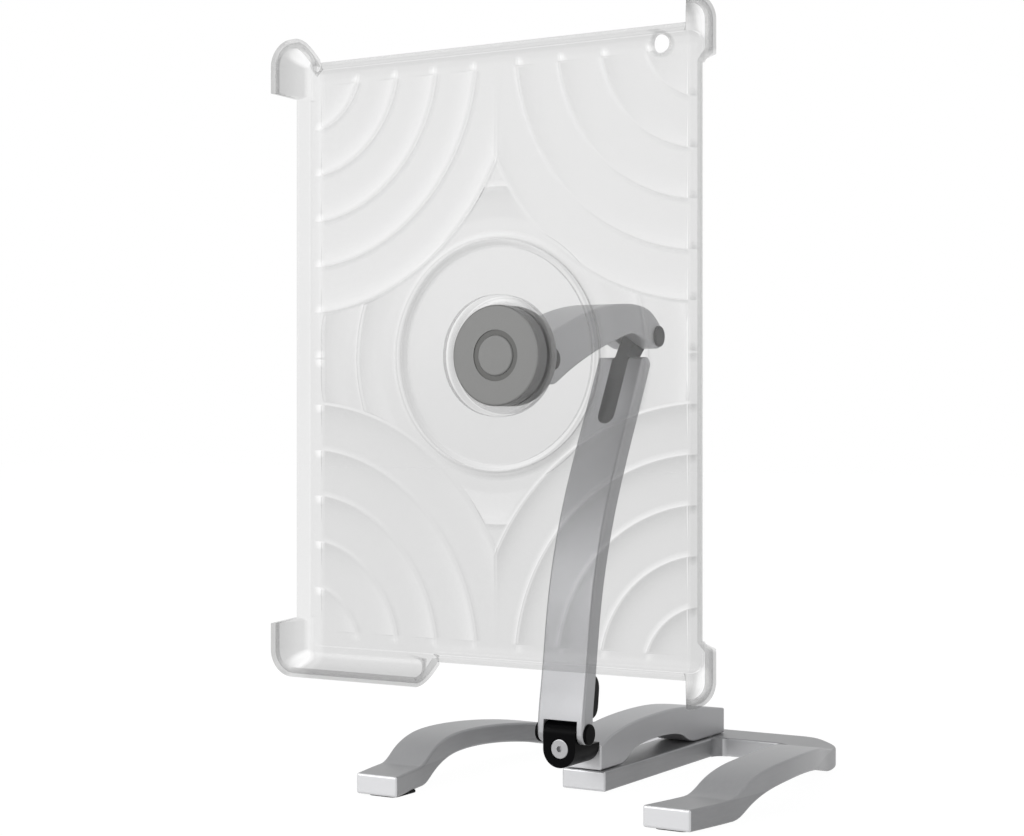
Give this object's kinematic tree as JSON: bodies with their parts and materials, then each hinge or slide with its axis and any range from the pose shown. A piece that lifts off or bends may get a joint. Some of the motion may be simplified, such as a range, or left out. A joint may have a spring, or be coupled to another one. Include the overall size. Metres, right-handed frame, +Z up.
{
  "type": "tablet mount",
  "caption": "Folding aluminium desk stand with hinged arms and a swivel foot, holding a tablet in a clear rippled tray that turns on a round hub.",
  "frame": {"origin": "on the ground under the middle of the whole object's box", "axes": "+X to the right, +Y from the tray to the rear of the base, +Z up"},
  "size_m": [0.1882, 0.2012, 0.2921],
  "materials": {
    "aluminium_bar": "satin",
    "rubber_pad": "matte",
    "steel": "brushed",
    "washer": "matte",
    "black_plastic": "satin",
    "grey_plastic": "satin",
    "dark_ring": "satin",
    "clear_tray": "frosted, see-through"
  },
  "bodies": {
    "base": {"base_frame": "aluminium_bar", "foot_pads": "rubber_pad", "swivel_washer": "washer"},
    "arch": {"arch_bar": "aluminium_bar", "swivel_bolt": "steel", "base_knuckle": "black_plastic", "knuckle_screw": "steel"},
    "lower": {"lower_arm": "aluminium_bar", "base_hinge_pin": "steel", "base_hinge_caps": "black_plastic", "arm_bumper": "rubber_pad", "elbow_knuckle": "black_plastic", "knuckle_cross_screw": "steel", "elbow_washers": "washer"},
    "upper": {"upper_arm": "aluminium_bar", "elbow_pin": "steel", "elbow_caps": "black_plastic", "tilt_pin": "steel", "tilt_caps": "black_plastic"},
    "hub": {"puck_cover": "grey_plastic", "puck_screws": "steel", "puck_housing": "grey_plastic", "button_ring": "dark_ring", "button_spring": "steel", "tilt_washers": "washer"},
    "button": {"release_button": "grey_plastic"},
    "tray_body": {"tray_panel": "clear_tray", "tray_sides": "clear_tray", "tray_ends": "clear_tray", "lock_ring": "clear_tray"}
  },
  "joints": [
    {"name": "base_swivel", "type": "hinge", "parent": "base", "child": "arch", "pos_m": [0, 0.0786, 0.0088], "axis": [0, 0, 1], "range_deg": [-24, 24]},
    {"name": "base_hinge", "type": "hinge", "parent": "arch", "child": "lower", "pos_m": [0, -0.037, 0.0253], "axis": [1, 0, 0], "range_deg": [-30, 5]},
    {"name": "elbow_hinge", "type": "hinge", "parent": "lower", "child": "upper", "pos_m": [0, 0.022, 0.1806], "axis": [1, 0, 0], "range_deg": [-40, 10]},
    {"name": "head_tilt", "type": "hinge", "parent": "upper", "child": "hub", "pos_m": [0, -0.0639, 0.1693], "axis": [1, 0, 0], "range_deg": [-25, 10]},
    {"name": "tray_turn", "type": "hinge", "parent": "hub", "child": "tray_body", "pos_m": [0, -0.0824, 0.1702], "axis": [0, 1, 0], "continuous": true},
    {"name": "button_press", "type": "slide", "parent": "hub", "child": "button", "axis": [0, 1, 0], "range_m": [0, 0.0015], "stiffness_N_per_m": 900, "springref_m": -0.001, "deforming": ["button_spring"]}
  ]
}
